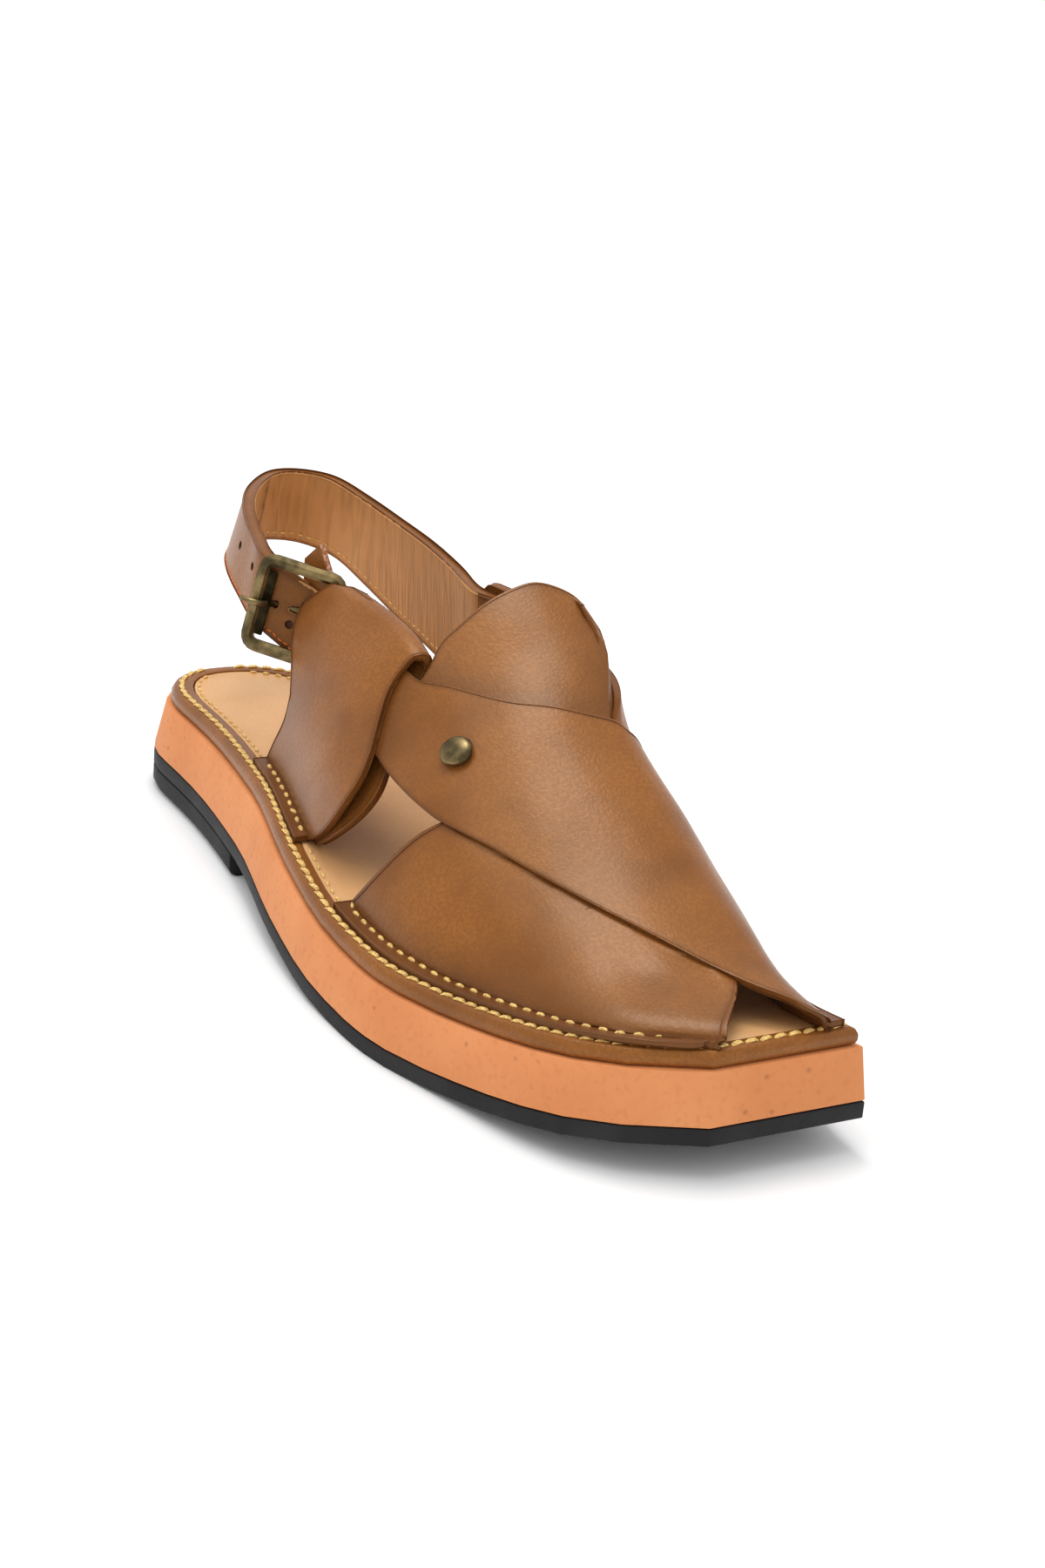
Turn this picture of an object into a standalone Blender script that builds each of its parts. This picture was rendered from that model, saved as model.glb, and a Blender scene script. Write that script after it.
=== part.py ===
"""Peshawari chappal, a men's strap sandal for the right foot.

Metres, +Z up, +X to the toe, -Y to the outer side of the foot. The origin is on the
floor, under the middle of the heel. A station is a distance from the back of the heel
towards the toe, and the cross sections lean forward a little on the inner side.
"""
import math

import bmesh
import bpy
import numpy as np

# Sole: driving sizes
LENGTH = 0.286
BALL_WIDTH = 0.104
HEEL_CENTRE = 0.040
SECTION_LEAN = 0.14
HEEL_LIFT = 0.0073
OUTSOLE_THICKNESS = 0.0047
MIDSOLE_HEEL = 0.0154
MIDSOLE_FORE = 0.0142
MIDSOLE_FLARE = 0.0026
TOE_SPRING = 0.0100
WELT_INSET = 0.0010
WELT_WIDTH = 0.0052
WELT_HEIGHT = 0.0047
WELT_ROUNDING = 0.0016
INSOLE_SINK = 0.0003
HEEL_EDGE_ROUNDING = 0.0022
HEEL_ROUND_LENGTH = 0.026
HEEL_SQUARENESS = 2.4
GAP = 0.0003

# Sole: places along the length, as shares of LENGTH
HEEL_BREAST = 0.302
WAIST_START = 0.318
TREAD_START = 0.680
TREAD_END = 0.725
TREAD_MARGIN = 0.008
SPRING_END = 1.050
TOE_START = 0.930
FLARE_FADE = 0.80

# Upper: driving sizes
INSTEP_HEIGHT = 0.074
LEATHER = 0.0018
WALL_INSET = 0.0100
FLANGE_INSET = 0.0046
FLANGE_THICKNESS = 0.0016
OVERLAP_SINK = 0.0006
LAYER_GAP = 0.0003
FOLD_FRONT_STEP = 0.0020
STRAP_THICKNESS = 0.0034
STRAP_WIDTH = 0.0230
STRAP_HEIGHT = 0.0870

# Buckle and stud: driving sizes
BUCKLE_HEIGHT = 0.0285
BUCKLE_CORNER = 0.0030
BAR_WIDTH = 0.0030
BAR_THICKNESS = 0.0026
PRONG_DIAMETER = 0.0020
PRONG_CROSSING = 0.0045
STUD_DIAMETER = 0.0090
STUD_HEIGHT = 0.0022

# Plan of the midsole's top edge: share of LENGTH, then outer and inner reach as shares of BALL_WIDTH
PLAN = (
    (0.000, 0.216, 0.240),
    (0.160, 0.264, 0.292),
    (0.315, 0.356, 0.330),
    (0.480, 0.494, 0.368),
    (0.600, 0.562, 0.380),
    (0.690, 0.579, 0.380),
    (0.800, 0.534, 0.326),
    (0.885, 0.492, 0.244),
    (0.930, 0.445, 0.206),
    (0.965, 0.370, 0.192),
    (1.000, 0.224, 0.190),
)

# Foot form: share of LENGTH, crown as a share of INSTEP_HEIGHT, ridge as a share of BALL_WIDTH
# from the middle line, then how steeply the outer and the inner side rise (less is fuller)
FORM = (
    (0.240, 1.000, 0.120, 1.30, 0.85),
    (0.350, 1.000, 0.180, 1.30, 0.80),
    (0.440, 0.996, 0.270, 1.30, 0.76),
    (0.530, 0.872, 0.290, 1.30, 0.84),
    (0.630, 0.670, 0.148, 1.30, 1.00),
    (0.730, 0.480, 0.104, 1.30, 0.97),
    (0.830, 0.288, 0.070, 1.25, 0.83),
    (0.920, 0.120, 0.048, 1.10, 0.74),
    (1.000, 0.044, 0.000, 1.00, 0.75),
)

# Edges of a crossing strap: front station and height round the arch, rear station and height.
# Heights go from 0 at the strap's own base over the foot towards 1 at the far base.
UNDER_STRAP = (
    (0.985, 0.000, 0.583, 0.000),
    (0.985, 0.110, 0.603, 0.065),
    (0.979, 0.220, 0.617, 0.125),
    (0.969, 0.310, 0.630, 0.195),
    (0.950, 0.390, 0.646, 0.258),
    (0.910, 0.465, 0.656, 0.340),
    (0.840, 0.550, 0.652, 0.430),
    (0.760, 0.625, 0.632, 0.515),
    (0.680, 0.690, 0.598, 0.595),
    (0.600, 0.745, 0.552, 0.665),
    (0.530, 0.787, 0.508, 0.715),
    (0.480, 0.806, 0.470, 0.764),
)
OVER_STRAP = (
    (0.990, 0.000, 0.583, 0.000),
    (0.990, 0.200, 0.603, 0.080),
    (0.982, 0.380, 0.620, 0.200),
    (0.955, 0.520, 0.635, 0.330),
    (0.890, 0.592, 0.637, 0.430),
    (0.820, 0.655, 0.625, 0.508),
    (0.750, 0.699, 0.602, 0.578),
    (0.699, 0.727, 0.582, 0.628),
    (0.646, 0.760, 0.550, 0.674),
    (0.590, 0.788, 0.519, 0.703),
    (0.540, 0.806, 0.495, 0.724),
    (0.480, 0.812, 0.465, 0.733),
)

# Instep piece: height round the arch, top edge station, hidden front edge station
INSTEP_PIECE = (
    (0.245, 0.496, 0.530),
    (0.300, 0.488, 0.600),
    (0.320, 0.479, 0.640),
    (0.342, 0.477, 0.660),
    (0.400, 0.472, 0.700),
    (0.455, 0.471, 0.715),
    (0.498, 0.493, 0.715),
    (0.550, 0.515, 0.715),
    (0.620, 0.524, 0.690),
    (0.700, 0.515, 0.625),
    (0.765, 0.495, 0.545),
)

# Side quarters: height round the arch, rear edge station, front edge station
OUTER_QUARTER = (
    (0.000, 0.285, 0.460),
    (0.040, 0.297, 0.483),
    (0.080, 0.315, 0.504),
    (0.125, 0.334, 0.519),
    (0.160, 0.320, 0.523),
    (0.200, 0.288, 0.506),
    (0.238, 0.281, 0.483),
    (0.272, 0.300, 0.476),
    (0.302, 0.328, 0.478),
)
INNER_QUARTER = (
    (0.000, 0.345, 0.500),
    (0.060, 0.362, 0.520),
    (0.120, 0.366, 0.526),
    (0.180, 0.356, 0.512),
    (0.225, 0.353, 0.495),
    (0.252, 0.364, 0.484),
    (0.277, 0.388, 0.478),
)
QUARTER_SETBACK = 0.046
OUTER_POCKET = (0.04, 0.155)
INNER_POCKET = (0.00, 0.090)

# Heel strap round the ankle: x as a share of LENGTH, y as a share of BALL_WIDTH, height of its middle
# as a share of STRAP_HEIGHT, width as a share of STRAP_WIDTH, and how far its top leans in
HEEL_STRAP = (
    (0.096, -0.222, 0.940, 0.80, 0.16),
    (0.046, -0.192, 0.975, 0.80, 0.18),
    (0.000, -0.150, 1.003, 0.81, 0.22),
    (-0.040, -0.088, 1.019, 0.85, 0.25),
    (-0.070, -0.006, 1.023, 0.90, 0.25),
    (-0.086, 0.084, 1.020, 0.95, 0.22),
    (-0.080, 0.180, 1.008, 1.00, 0.20),
    (-0.052, 0.252, 0.985, 1.08, 0.16),
    (0.000, 0.276, 0.945, 1.18, 0.12),
    (0.056, 0.286, 0.905, 1.28, 0.10),
    (0.119, 0.283, 0.875, 1.34, 0.08),
    (0.178, 0.272, 0.846, 1.38, 0.10),
)

# Where the heel strap lies inside a quarter: stations from its end on, and lower and upper height
OUTER_TUCK_STATIONS = (0.365, 0.340, 0.312, 0.275)
OUTER_TUCK = (0.177, 0.264)
INNER_TUCK_STATIONS = (0.440, 0.412, 0.384, 0.356)
INNER_TUCK = (0.090, 0.246)
BUCKLE_TUCK = 2

# How finely the surfaces are divided
HEEL_STEPS = 7
SIDE_STEPS = 26
STRAP_STEPS = 22
STRAP_COLUMNS = 9
QUARTER_STEPS = 9
BAND_STEPS = 3
BAND_COLUMNS = 4


def smooth(value, start, end):
    """Eased step from 0 at start to 1 at end."""
    t = np.clip((np.asarray(value, float) - start) / (end - start), 0.0, 1.0)
    return t * t * (3.0 - 2.0 * t)


def curve(table, column, place):
    """Read a column of a table with a smooth curve that never overshoots its rows."""
    x = np.array([row[0] for row in table], float)
    y = np.array([row[column] for row in table], float)
    slope = np.diff(y) / np.diff(x)
    inner = [0.0 if a * b <= 0.0 else 2.0 * a * b / (a + b) for a, b in zip(slope[:-1], slope[1:])]
    bend = np.array([slope[0], *inner, slope[-1]])
    place = np.clip(place, x[0], x[-1])
    i = np.clip(np.searchsorted(x, place, side="right") - 1, 0, len(x) - 2)
    step = x[i + 1] - x[i]
    t = (place - x[i]) / step
    start = y[i] * (1 + 2 * t) * (1 - t) ** 2 + bend[i] * step * t * (1 - t) ** 2
    return start + y[i + 1] * t * t * (3 - 2 * t) + bend[i + 1] * step * t * t * (t - 1)


def numbered(table):
    """The same table with its row number, from 0 to 1, as the first column."""
    last = len(table) - 1
    return tuple((i / last, *row) for i, row in enumerate(table))


# Heights of the sole's layers

def sole_floor(station):
    """Underside of the outsole: up on the heel, flat under the ball, rising to the toe."""
    share = np.asarray(station) / LENGTH
    heel = HEEL_LIFT * (1 - smooth(share, WAIST_START, TREAD_START))
    return heel + TOE_SPRING * smooth(share, TREAD_END + TREAD_MARGIN, SPRING_END)


def outsole_top(station):
    return sole_floor(station) + OUTSOLE_THICKNESS


def midsole_bottom(station):
    return outsole_top(station) + GAP


def midsole_top(station):
    taper = smooth(np.asarray(station) / LENGTH, WAIST_START, TREAD_START)
    return midsole_bottom(station) + MIDSOLE_HEEL + (MIDSOLE_FORE - MIDSOLE_HEEL) * taper


def footbed(station):
    """Top of the welt and of the insole, where the foot and the flanges rest."""
    return midsole_top(station) + GAP + WELT_HEIGHT


def outline(side, share, inset):
    """Point of the plan at a share of the length, moved in from the midsole's top edge."""
    station = inset + share * (LENGTH - 2 * inset)
    side_inset = inset * (1 - FLARE_FADE * smooth(share, TOE_START, 1.0)) if inset < 0 else inset
    reach = BALL_WIDTH * curve(PLAN, 1 if side < 0 else 2, share) - side_inset
    back = np.clip(1 - share * LENGTH / HEEL_ROUND_LENGTH, 0.0, 1.0)
    y = side * reach * (1 - back ** HEEL_SQUARENESS) ** (1 / HEEL_SQUARENESS)
    return station, y


def place(station, y, z):
    """Point in space of a station, a distance to the side and a height."""
    return np.stack(np.broadcast_arrays(station + SECTION_LEAN * y - HEEL_CENTRE, y, z), axis=-1)


def sole_shares(end=1.0):
    """Shares of the length at which the sole is cut into sections, closer round the heel."""
    angles = [math.pi / 2 * (i + 0.35) / HEEL_STEPS for i in range(HEEL_STEPS)]
    heel = [HEEL_ROUND_LENGTH / LENGTH * (1 - math.cos(a) ** (2 / HEEL_SQUARENESS)) for a in angles]
    start = HEEL_ROUND_LENGTH / LENGTH
    count = max(3, round(SIDE_STEPS * (end - start)))
    side = [start + (end - start) * i / count for i in range(count + 1)]
    spots = [share for share in (TREAD_START, TREAD_END) if share < end]
    side = [share for share in side if all(abs(share - spot) > 0.012 for spot in spots)]
    return np.array(sorted(heel + side + spots))


# Mesh building

def material(name, colour, roughness, metallic=0.0):
    made = bpy.data.materials.new(name)
    made.use_nodes = True
    shader = made.node_tree.nodes["Principled BSDF"]
    shader.inputs["Base Color"].default_value = (*colour, 1.0)
    shader.inputs["Roughness"].default_value = roughness
    shader.inputs["Metallic"].default_value = metallic
    made.diffuse_color = (*colour, 1.0)
    return made


def add_object(name, points, faces, finish):
    """Closed mesh object with its faces pointing out."""
    mesh = bpy.data.meshes.new(name)
    mesh.from_pydata([tuple(map(float, p)) for p in points], [], faces)
    shape = bmesh.new()
    shape.from_mesh(mesh)
    bmesh.ops.recalc_face_normals(shape, faces=shape.faces)
    shape.to_mesh(mesh)
    shape.free()
    mesh.materials.append(finish)
    mesh.shade_smooth()
    mesh.set_sharp_from_angle(angle=math.radians(40))
    made = bpy.data.objects.new(name, mesh)
    bpy.context.scene.collection.objects.link(made)
    return made


def sheet(name, outer, inner, finish):
    """Wall between two matching grids of points, closed round its rim."""
    rows, columns = outer.shape[:2]
    count = rows * columns

    def at(side, i, j):
        return side * count + i * columns + j

    faces = []
    for i in range(rows - 1):
        for j in range(columns - 1):
            faces.append((at(0, i, j), at(0, i + 1, j), at(0, i + 1, j + 1), at(0, i, j + 1)))
            faces.append((at(1, i, j), at(1, i, j + 1), at(1, i + 1, j + 1), at(1, i + 1, j)))
    rim = [(i, 0) for i in range(rows)] + [(rows - 1, j) for j in range(1, columns)]
    rim += [(i, columns - 1) for i in range(rows - 2, -1, -1)] + [(0, j) for j in range(columns - 2, 0, -1)]
    for a, b in zip(rim, rim[1:] + rim[:1]):
        faces.append((at(0, *a), at(1, *a), at(1, *b), at(0, *b)))
    points = np.concatenate([outer.reshape(-1, 3), inner.reshape(-1, 3)])
    return add_object(name, points, faces, finish)


def slab(name, shares, levels, finish):
    """Layer of the sole: outlines stacked from the bottom to the top, each with an inset and a height."""
    rings = []
    for inset, height in levels:
        rails = []
        for side in (-1, 1):
            station, y = outline(side, shares, inset)
            rails.append(place(station, y, height(station)))
        rings.append(np.concatenate([rails[0], rails[1][::-1]]))
    size = len(rings[0])
    faces = []
    for level in range(len(rings) - 1):
        low, high = level * size, (level + 1) * size
        for k in range(size):
            n = (k + 1) % size
            faces.append((low + k, low + n, high + n, high + k))
    for k in range(len(shares) - 1):
        far = size - 1 - k
        faces.append((k, far, far - 1, k + 1))
        top = (len(rings) - 1) * size
        faces.append((top + k, top + k + 1, top + far - 1, top + far))
    return add_object(name, np.concatenate(rings), faces, finish)


def ring(name, loops, finish):
    """Closed bar: matching closed loops of points, joined in order and back to the first."""
    size = len(loops[0])
    faces = []
    for a in range(len(loops)):
        b = (a + 1) % len(loops)
        for k in range(size):
            n = (k + 1) % size
            faces.append((a * size + k, a * size + n, b * size + n, b * size + k))
    return add_object(name, np.concatenate(loops), faces, finish)


def combine(main, tool, operation):
    """Join a tool to the main object, or cut it away, with a live Boolean."""
    tool.hide_render = True
    tool.display_type = "WIRE"
    change = main.modifiers.new(tool.name, "BOOLEAN")
    change.operation = operation
    change.solver = "EXACT"
    change.object = tool


# Foot form, on which every piece of the upper lies

def form_point(station, arch):
    """Point on the foot form: arch goes from 0 at the outer base to 1 at the inner base."""
    share = station / LENGTH
    crown = INSTEP_HEIGHT * curve(FORM, 1, share)
    ridge = BALL_WIDTH * curve(FORM, 2, share)
    outer_base = -(BALL_WIDTH * curve(PLAN, 1, share) - WALL_INSET)
    inner_base = BALL_WIDTH * curve(PLAN, 2, share) - WALL_INSET
    base = np.where(arch < 0.5, outer_base, inner_base)
    steep = curve(FORM, 3, share) + (curve(FORM, 4, share) - curve(FORM, 3, share)) * smooth(arch, 0.35, 0.65)
    across = np.abs(np.cos(np.pi * arch))
    up = np.clip(np.sin(np.pi * arch), 0.0, 1.0) ** steep
    return place(station, ridge + (base - ridge) * across, footbed(station) + GAP + crown * up)


def on_form(station, arch, offset=0.0):
    """Point at a distance outside the foot form."""
    station, arch, offset = np.broadcast_arrays(np.asarray(station, float), np.asarray(arch, float), offset)
    step = 0.0005
    turn = 0.002
    along = form_point(station + step, arch) - form_point(station - step, arch)
    round_arch = form_point(station, np.clip(arch + turn, 0, 1)) - form_point(station, np.clip(arch - turn, 0, 1))
    normal = np.cross(along, round_arch)
    normal /= np.linalg.norm(normal, axis=-1, keepdims=True)
    return form_point(station, arch) + normal * offset[..., None]


def girth(share):
    """Length round the arch from base to base at a share of the length."""
    points = form_point(np.full(60, share * LENGTH), np.linspace(0, 1, 60))
    return float(np.linalg.norm(np.diff(points, axis=0), axis=1).sum())


def from_side(side, arch):
    """Turn a height counted from a strap's own base into the form's own count."""
    return arch if side < 0 else 1 - arch


# Sole

def make_sole(rubber, crepe, brown, tan):
    shares = sole_shares()
    slab("outsole", shares, ((-MIDSOLE_FLARE, sole_floor), (-MIDSOLE_FLARE, outsole_top)), rubber)
    slab("midsole", shares, ((-MIDSOLE_FLARE, midsole_bottom), (0.0, midsole_top)), crepe)

    def heel_level(height):
        return lambda station: np.full(np.shape(station), height)

    edge = HEEL_EDGE_ROUNDING
    slab("heel_block", sole_shares(HEEL_BREAST), (
        (edge - MIDSOLE_FLARE, heel_level(0.0)),
        (0.3 * edge - MIDSOLE_FLARE, heel_level(0.3 * edge)),
        (-MIDSOLE_FLARE, heel_level(edge)),
        (-MIDSOLE_FLARE, heel_level(HEEL_LIFT - GAP)),
    ), rubber)

    def seat(station):
        return midsole_top(station) + GAP

    soft = WELT_ROUNDING
    inner = WELT_INSET + WELT_WIDTH
    profile = (
        (WELT_INSET + 0.3 * soft, 0.0), (WELT_INSET, 0.6 * soft), (WELT_INSET, WELT_HEIGHT - 1.2 * soft),
        (WELT_INSET + 0.4 * soft, WELT_HEIGHT - 0.3 * soft), (WELT_INSET + soft, WELT_HEIGHT),
        (inner, WELT_HEIGHT), (inner, 0.0),
    )
    loops = []
    for inset, height in profile:
        rails = []
        for side in (-1, 1):
            station, y = outline(side, shares, inset)
            rails.append(place(station, y, seat(station) + height))
        loops.append(np.concatenate([rails[0], rails[1][::-1]]))
    ring("welt", loops, brown)

    slab("insole", shares, (
        (inner + GAP, seat),
        (inner + GAP, lambda station: footbed(station) - INSOLE_SINK),
    ), tan)


# Upper

def flange(name, side, start, end, root, finish):
    """Turned-out foot of a strap, lying on the welt from the wall's middle outwards."""
    stations = np.linspace(start, end, STRAP_STEPS) * LENGTH
    base = BALL_WIDTH * curve(PLAN, 1 if side < 0 else 2, stations / LENGTH)
    inner = side * (base - WALL_INSET + root + LEATHER / 2)
    outer = side * (base - FLANGE_INSET)
    low = footbed(stations) + GAP + LAYER_GAP / 3
    high = low + FLANGE_THICKNESS
    top = np.stack([place(stations, inner, high), place(stations, outer, high)], axis=1)
    bottom = np.stack([place(stations, inner, low), place(stations, outer, low)], axis=1)
    return sheet(name, top, bottom, finish)


def strap(name, side, table, offset, finish):
    """Crossing strap from its base on one side over the foot to the quarter of the other side."""
    rows = numbered(table)
    along = np.linspace(0, 1, STRAP_STEPS)
    front_station, front_arch, rear_station, rear_arch = (curve(rows, c, along)[:, None] for c in (1, 2, 3, 4))
    across = np.linspace(0, 1, STRAP_COLUMNS)[None, :]
    stations = (front_station + (rear_station - front_station) * across) * LENGTH
    arch = from_side(side, front_arch + (rear_arch - front_arch) * across)
    lift = offset(along)[:, None] * np.ones_like(across)
    outer = on_form(stations, arch, lift + LEATHER)
    inner = on_form(stations, arch, lift)
    return sheet(name, outer, inner, finish)


def make_upper(brown):
    """Both crossing straps and their flanges, one solid joined where they cross."""
    rise = LEATHER - OVERLAP_SINK
    upper = strap("upper", -1, UNDER_STRAP, lambda along: 0 * along, brown)
    over = strap("over_strap", 1, OVER_STRAP, lambda a: rise * smooth(a, 0.05, 0.25) * (1 - smooth(a, 0.72, 0.92)),
                 brown)
    combine(upper, flange("under_flange", -1, UNDER_STRAP[0][2], UNDER_STRAP[0][0], 0.0, brown), "UNION")
    combine(over, flange("over_flange", 1, OVER_STRAP[0][2], OVER_STRAP[0][0], 0.0, brown), "UNION")
    combine(upper, over, "UNION")


def make_instep_piece(brown):
    """Plain vamp piece under both straps, open at its top edge."""
    table = INSTEP_PIECE
    arch = np.linspace(table[0][0], table[-1][0], STRAP_STEPS)[:, None]
    across = np.linspace(0, 1, STRAP_COLUMNS)[None, :]
    top, front = curve(table, 1, arch), curve(table, 2, arch)
    stations = (top + (front - top) * across) * LENGTH
    arch = arch * np.ones_like(across)
    sheet("instep_piece", on_form(stations, arch, -LAYER_GAP), on_form(stations, arch, -LAYER_GAP - LEATHER), brown)


def quarter_profile(table, pocket):
    """Section of a quarter folded over at its top: heights, then outside and inside offsets."""
    top = table[-1][0]
    per_metre = 1 / girth(table[-1][2])
    cavity_out = LEATHER + LAYER_GAP
    cavity_in = LEATHER + 2 * LAYER_GAP
    inner_radius = (cavity_out + cavity_in) / 2
    outer_radius = inner_radius + LEATHER
    middle = (cavity_out - cavity_in) / 2
    turn = top - outer_radius * per_metre
    legs = np.array([0.0, 0.12, 0.25, 0.38, 0.50, 0.62, 0.74, 0.87, 1.0]) * turn
    spread = smooth(legs, *pocket)
    near = LAYER_GAP / 2
    out_leg = near + (cavity_out - near) * spread
    in_leg = near + (cavity_in - near) * spread
    angles = np.radians([30, 60, 90, 120, 150])
    heights_out = np.concatenate([legs, turn + outer_radius * per_metre * np.sin(angles), legs[::-1]])
    heights_in = np.concatenate([legs, turn + inner_radius * per_metre * np.sin(angles), legs[::-1]])
    outside = np.concatenate([out_leg + LEATHER, middle + outer_radius * np.cos(angles), -in_leg[::-1] - LEATHER])
    inside = np.concatenate([out_leg, middle + inner_radius * np.cos(angles), -in_leg[::-1]])
    back = smooth(np.arange(len(outside)), len(legs) - 1, len(legs) + len(angles))
    return heights_out, heights_in, outside, inside, back


def make_quarter(name, side, table, pocket, brown):
    """Side quarter of doubled leather; straps, instep piece and heel strap tuck between its layers."""
    heights_out, heights_in, outside, inside, back = quarter_profile(table, pocket)
    along = np.linspace(0, 1, QUARTER_STEPS)[:, None]

    def grid(heights, offsets):
        rear = curve(table, 1, heights) + QUARTER_SETBACK * back
        front = curve(table, 2, heights) + FOLD_FRONT_STEP / LENGTH * back
        stations = (rear + (front - rear) * along) * LENGTH
        arch = from_side(side, heights) + 0 * along
        return on_form(stations, arch, offsets + 0 * along)

    quarter = sheet(name, grid(heights_out, outside), grid(heights_in, inside), brown)
    foot = flange(name + "_flange", side, table[0][1], table[0][2], LAYER_GAP / 2, brown)
    combine(quarter, foot, "UNION")


def smooth_rows(rows):
    """More rows along a band, on a smooth curve through the given ones."""
    padded = np.concatenate([[2 * rows[0] - rows[1]], rows, [2 * rows[-1] - rows[-2]]])
    made = []
    for a, b, c, d in zip(padded[:-3], padded[1:-2], padded[2:-1], padded[3:]):
        for i in range(BAND_STEPS):
            t = i / BAND_STEPS
            made.append(b + 0.5 * t * (c - a + t * (2 * a - 5 * b + 4 * c - d + t * (3 * (b - c) + d - a))))
    made.append(rows[-1])
    return np.array(made)


def heel_strap_rows():
    """Middle points of the heel strap's sections, and its outer and inner faces."""
    share = np.linspace(0, 1, BAND_COLUMNS)
    outer_face = LEATHER - LAYER_GAP / 2
    inner_face = outer_face - STRAP_THICKNESS

    def tucked(side, heights, station):
        arch = from_side(side, heights[0] + (heights[1] - heights[0]) * share)
        return [on_form(station * LENGTH, arch, d) for d in (outer_face, inner_face)]

    middle = np.array([(x * LENGTH, y * BALL_WIDTH, z * STRAP_HEIGHT) for x, y, z, _, _ in HEEL_STRAP])
    direction = np.gradient(middle, axis=0)
    outward = np.stack([direction[:, 1], -direction[:, 0], 0 * direction[:, 0]], axis=1)
    outward = -outward / np.linalg.norm(outward, axis=1, keepdims=True)
    free = []
    for centre, out, (_, _, _, width, lean) in zip(middle, outward, HEEL_STRAP):
        half = width * STRAP_WIDTH / 2
        reach = (2 * share - 1)[:, None] * half
        line = centre + reach * (np.array([0, 0, 1.0]) - lean * out)
        free.append([line + out * STRAP_THICKNESS / 2, line - out * STRAP_THICKNESS / 2])
    start = [tucked(-1, OUTER_TUCK, station) for station in OUTER_TUCK_STATIONS]
    end = [tucked(1, INNER_TUCK, station) for station in reversed(INNER_TUCK_STATIONS)]
    return np.array(start + free + end)


def make_heel_strap(brown):
    rows = heel_strap_rows()
    return sheet("heel_strap", smooth_rows(rows[:, 0]), smooth_rows(rows[:, 1]), brown)


# Buckle and stud

def buckle_axes():
    """Middle of the buckle, half the distance between its upright bars, and its directions.

    The left bar lies on the strap's outer face, the right one behind its inner face inside the quarter.
    """
    rows = heel_strap_rows()
    right_row, left_row = rows[BUCKLE_TUCK], rows[len(OUTER_TUCK_STATIONS)]
    across = (right_row[0][-1] - right_row[0][0]) + 3 * (left_row[0][-1] - left_row[0][0])
    across /= np.linalg.norm(across)
    along = right_row.mean(axis=(0, 1)) - left_row.mean(axis=(0, 1))
    along -= across * (along @ across)
    along /= np.linalg.norm(along)
    out = np.cross(along, across)
    clear = BAR_THICKNESS / 2 + GAP
    right = right_row.mean(axis=(0, 1))
    right += out * (min((right_row[1] - right) @ out) - clear)
    left = left_row.mean(axis=(0, 1))
    left += out * (max((left_row[0] - left) @ out) + clear)
    along = right - left
    along -= across * (along @ across)
    half_length = np.linalg.norm(along) / 2
    along /= np.linalg.norm(along)
    return (left + right) / 2, half_length, along, across, np.cross(along, across)


def make_buckle(brass, heel_strap):
    middle, half_length, along, across, out = buckle_axes()
    half_height = BUCKLE_HEIGHT / 2 - BAR_WIDTH / 2
    path = []
    corners = ((1, 1, 0), (-1, 1, 90), (-1, -1, 180), (1, -1, 270))
    for u_side, v_side, start in corners:
        for step in range(5):
            angle = math.radians(start + 90 * step / 4)
            u = u_side * (half_length - BUCKLE_CORNER) + BUCKLE_CORNER * math.cos(angle)
            v = v_side * (half_height - BUCKLE_CORNER) + BUCKLE_CORNER * math.sin(angle)
            path.append((u, v, math.cos(angle), math.sin(angle)))

    def bar(name, extra):
        loops = []
        for turn in range(8):
            angle = 2 * math.pi * (turn + 0.5) / 8
            wide, thick = (BAR_WIDTH / 2 + extra) * math.cos(angle), (BAR_THICKNESS / 2 + extra) * math.sin(angle)
            loops.append(np.array([
                middle + along * (u + wide * nu) + across * (v + wide * nv) + out * thick for u, v, nu, nv in path
            ]))
        return ring(name, loops, brass)

    bar("buckle_frame", 0.0)
    combine(heel_strap, bar("frame_clearance", GAP), "DIFFERENCE")

    radius = PRONG_DIAMETER / 2
    clear = radius + GAP
    left_bar = -half_length
    rest = BAR_THICKNESS / 2 + clear
    outside = left_bar + BAR_WIDTH / 2 + radius
    inside = outside + PRONG_CROSSING
    root = half_length - BAR_WIDTH / 2 - clear
    behind = -STRAP_THICKNESS - clear
    stops = ((root, 0.0, 1.0), (inside, behind, 1.0), (outside, rest, 1.0), (left_bar - BAR_WIDTH * 1.2, rest, 0.7))
    turns = [2 * math.pi * k / 8 for k in range(8)]
    sides = len(turns)
    faces = [tuple(range(sides)), tuple(range((len(stops) - 1) * sides, len(stops) * sides))]
    for i in range(len(stops) - 1):
        for k in range(sides):
            n = (k + 1) % sides
            faces.append((i * sides + k, i * sides + n, (i + 1) * sides + n, (i + 1) * sides + k))

    def prong(name, extra):
        sections = []
        for u, height, taper in stops:
            thick = radius * taper + extra
            sections += [middle + along * u + across * thick * math.cos(t) + out * (height + thick * math.sin(t))
                         for t in turns]
        return add_object(name, sections, faces, brass)

    prong("buckle_prong", 0.0)
    combine(heel_strap, prong("prong_clearance", GAP), "DIFFERENCE")


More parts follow.
